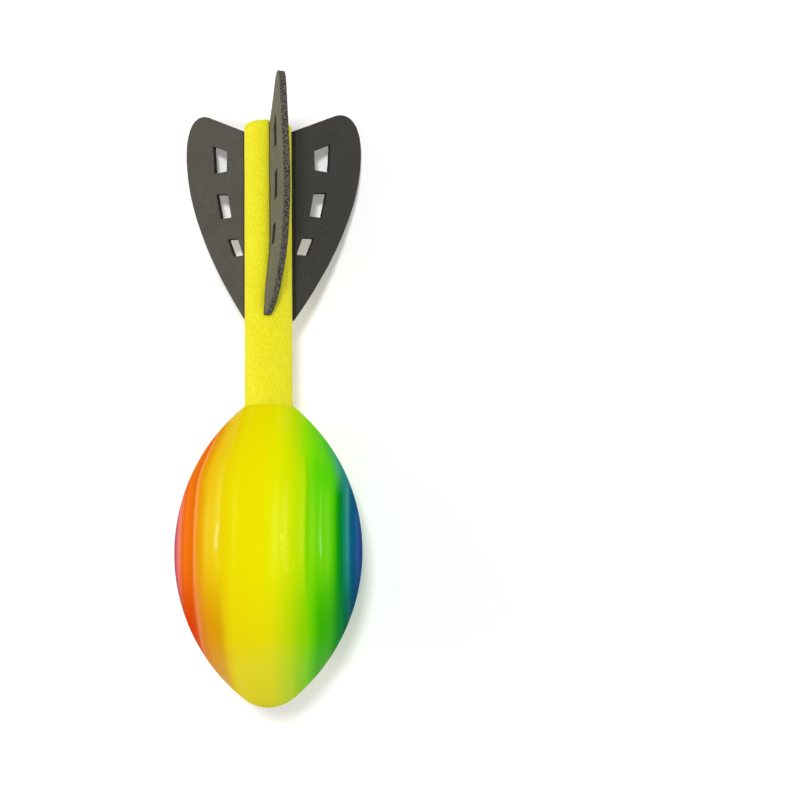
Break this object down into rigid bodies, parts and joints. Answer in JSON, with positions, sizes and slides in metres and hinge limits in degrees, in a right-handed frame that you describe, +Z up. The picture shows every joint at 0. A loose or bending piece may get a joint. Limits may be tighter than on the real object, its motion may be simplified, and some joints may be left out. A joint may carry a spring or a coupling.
{
  "type": "vortex throwing toy",
  "caption": "Foam football head on a foam tube tail with slotted sheet-foam fins, thrown overarm so that it spins and flies straight.",
  "frame": {"origin": "on the floor under the middle of the toy's footprint, with the toy lying at rest on the belly of its head and the edges of its two side fins", "axes": "+Y from the nose towards the fins, +Z up, +X to the right of someone who looks down with the fins pointing away"},
  "size_m": [0.098, 0.3202, 0.0968],
  "materials": {
    "head_foam": "glossy moulded foam skin, sprayed in soft bands of rainbow colour along its length",
    "tail_foam": "matt fine-celled extruded foam, yellow",
    "fin_foam": "matt charcoal foam sheet, with coarse open cells on its cut edges",
    "core_plastic": "plain extruded plastic"
  },
  "bodies": {
    "root": {"head": "head_foam", "tail_tube": "tail_foam", "core_tube": "core_plastic", "fin_top": "fin_foam", "fin_left": "fin_foam", "fin_right": "fin_foam"}
  },
  "joints": []
}
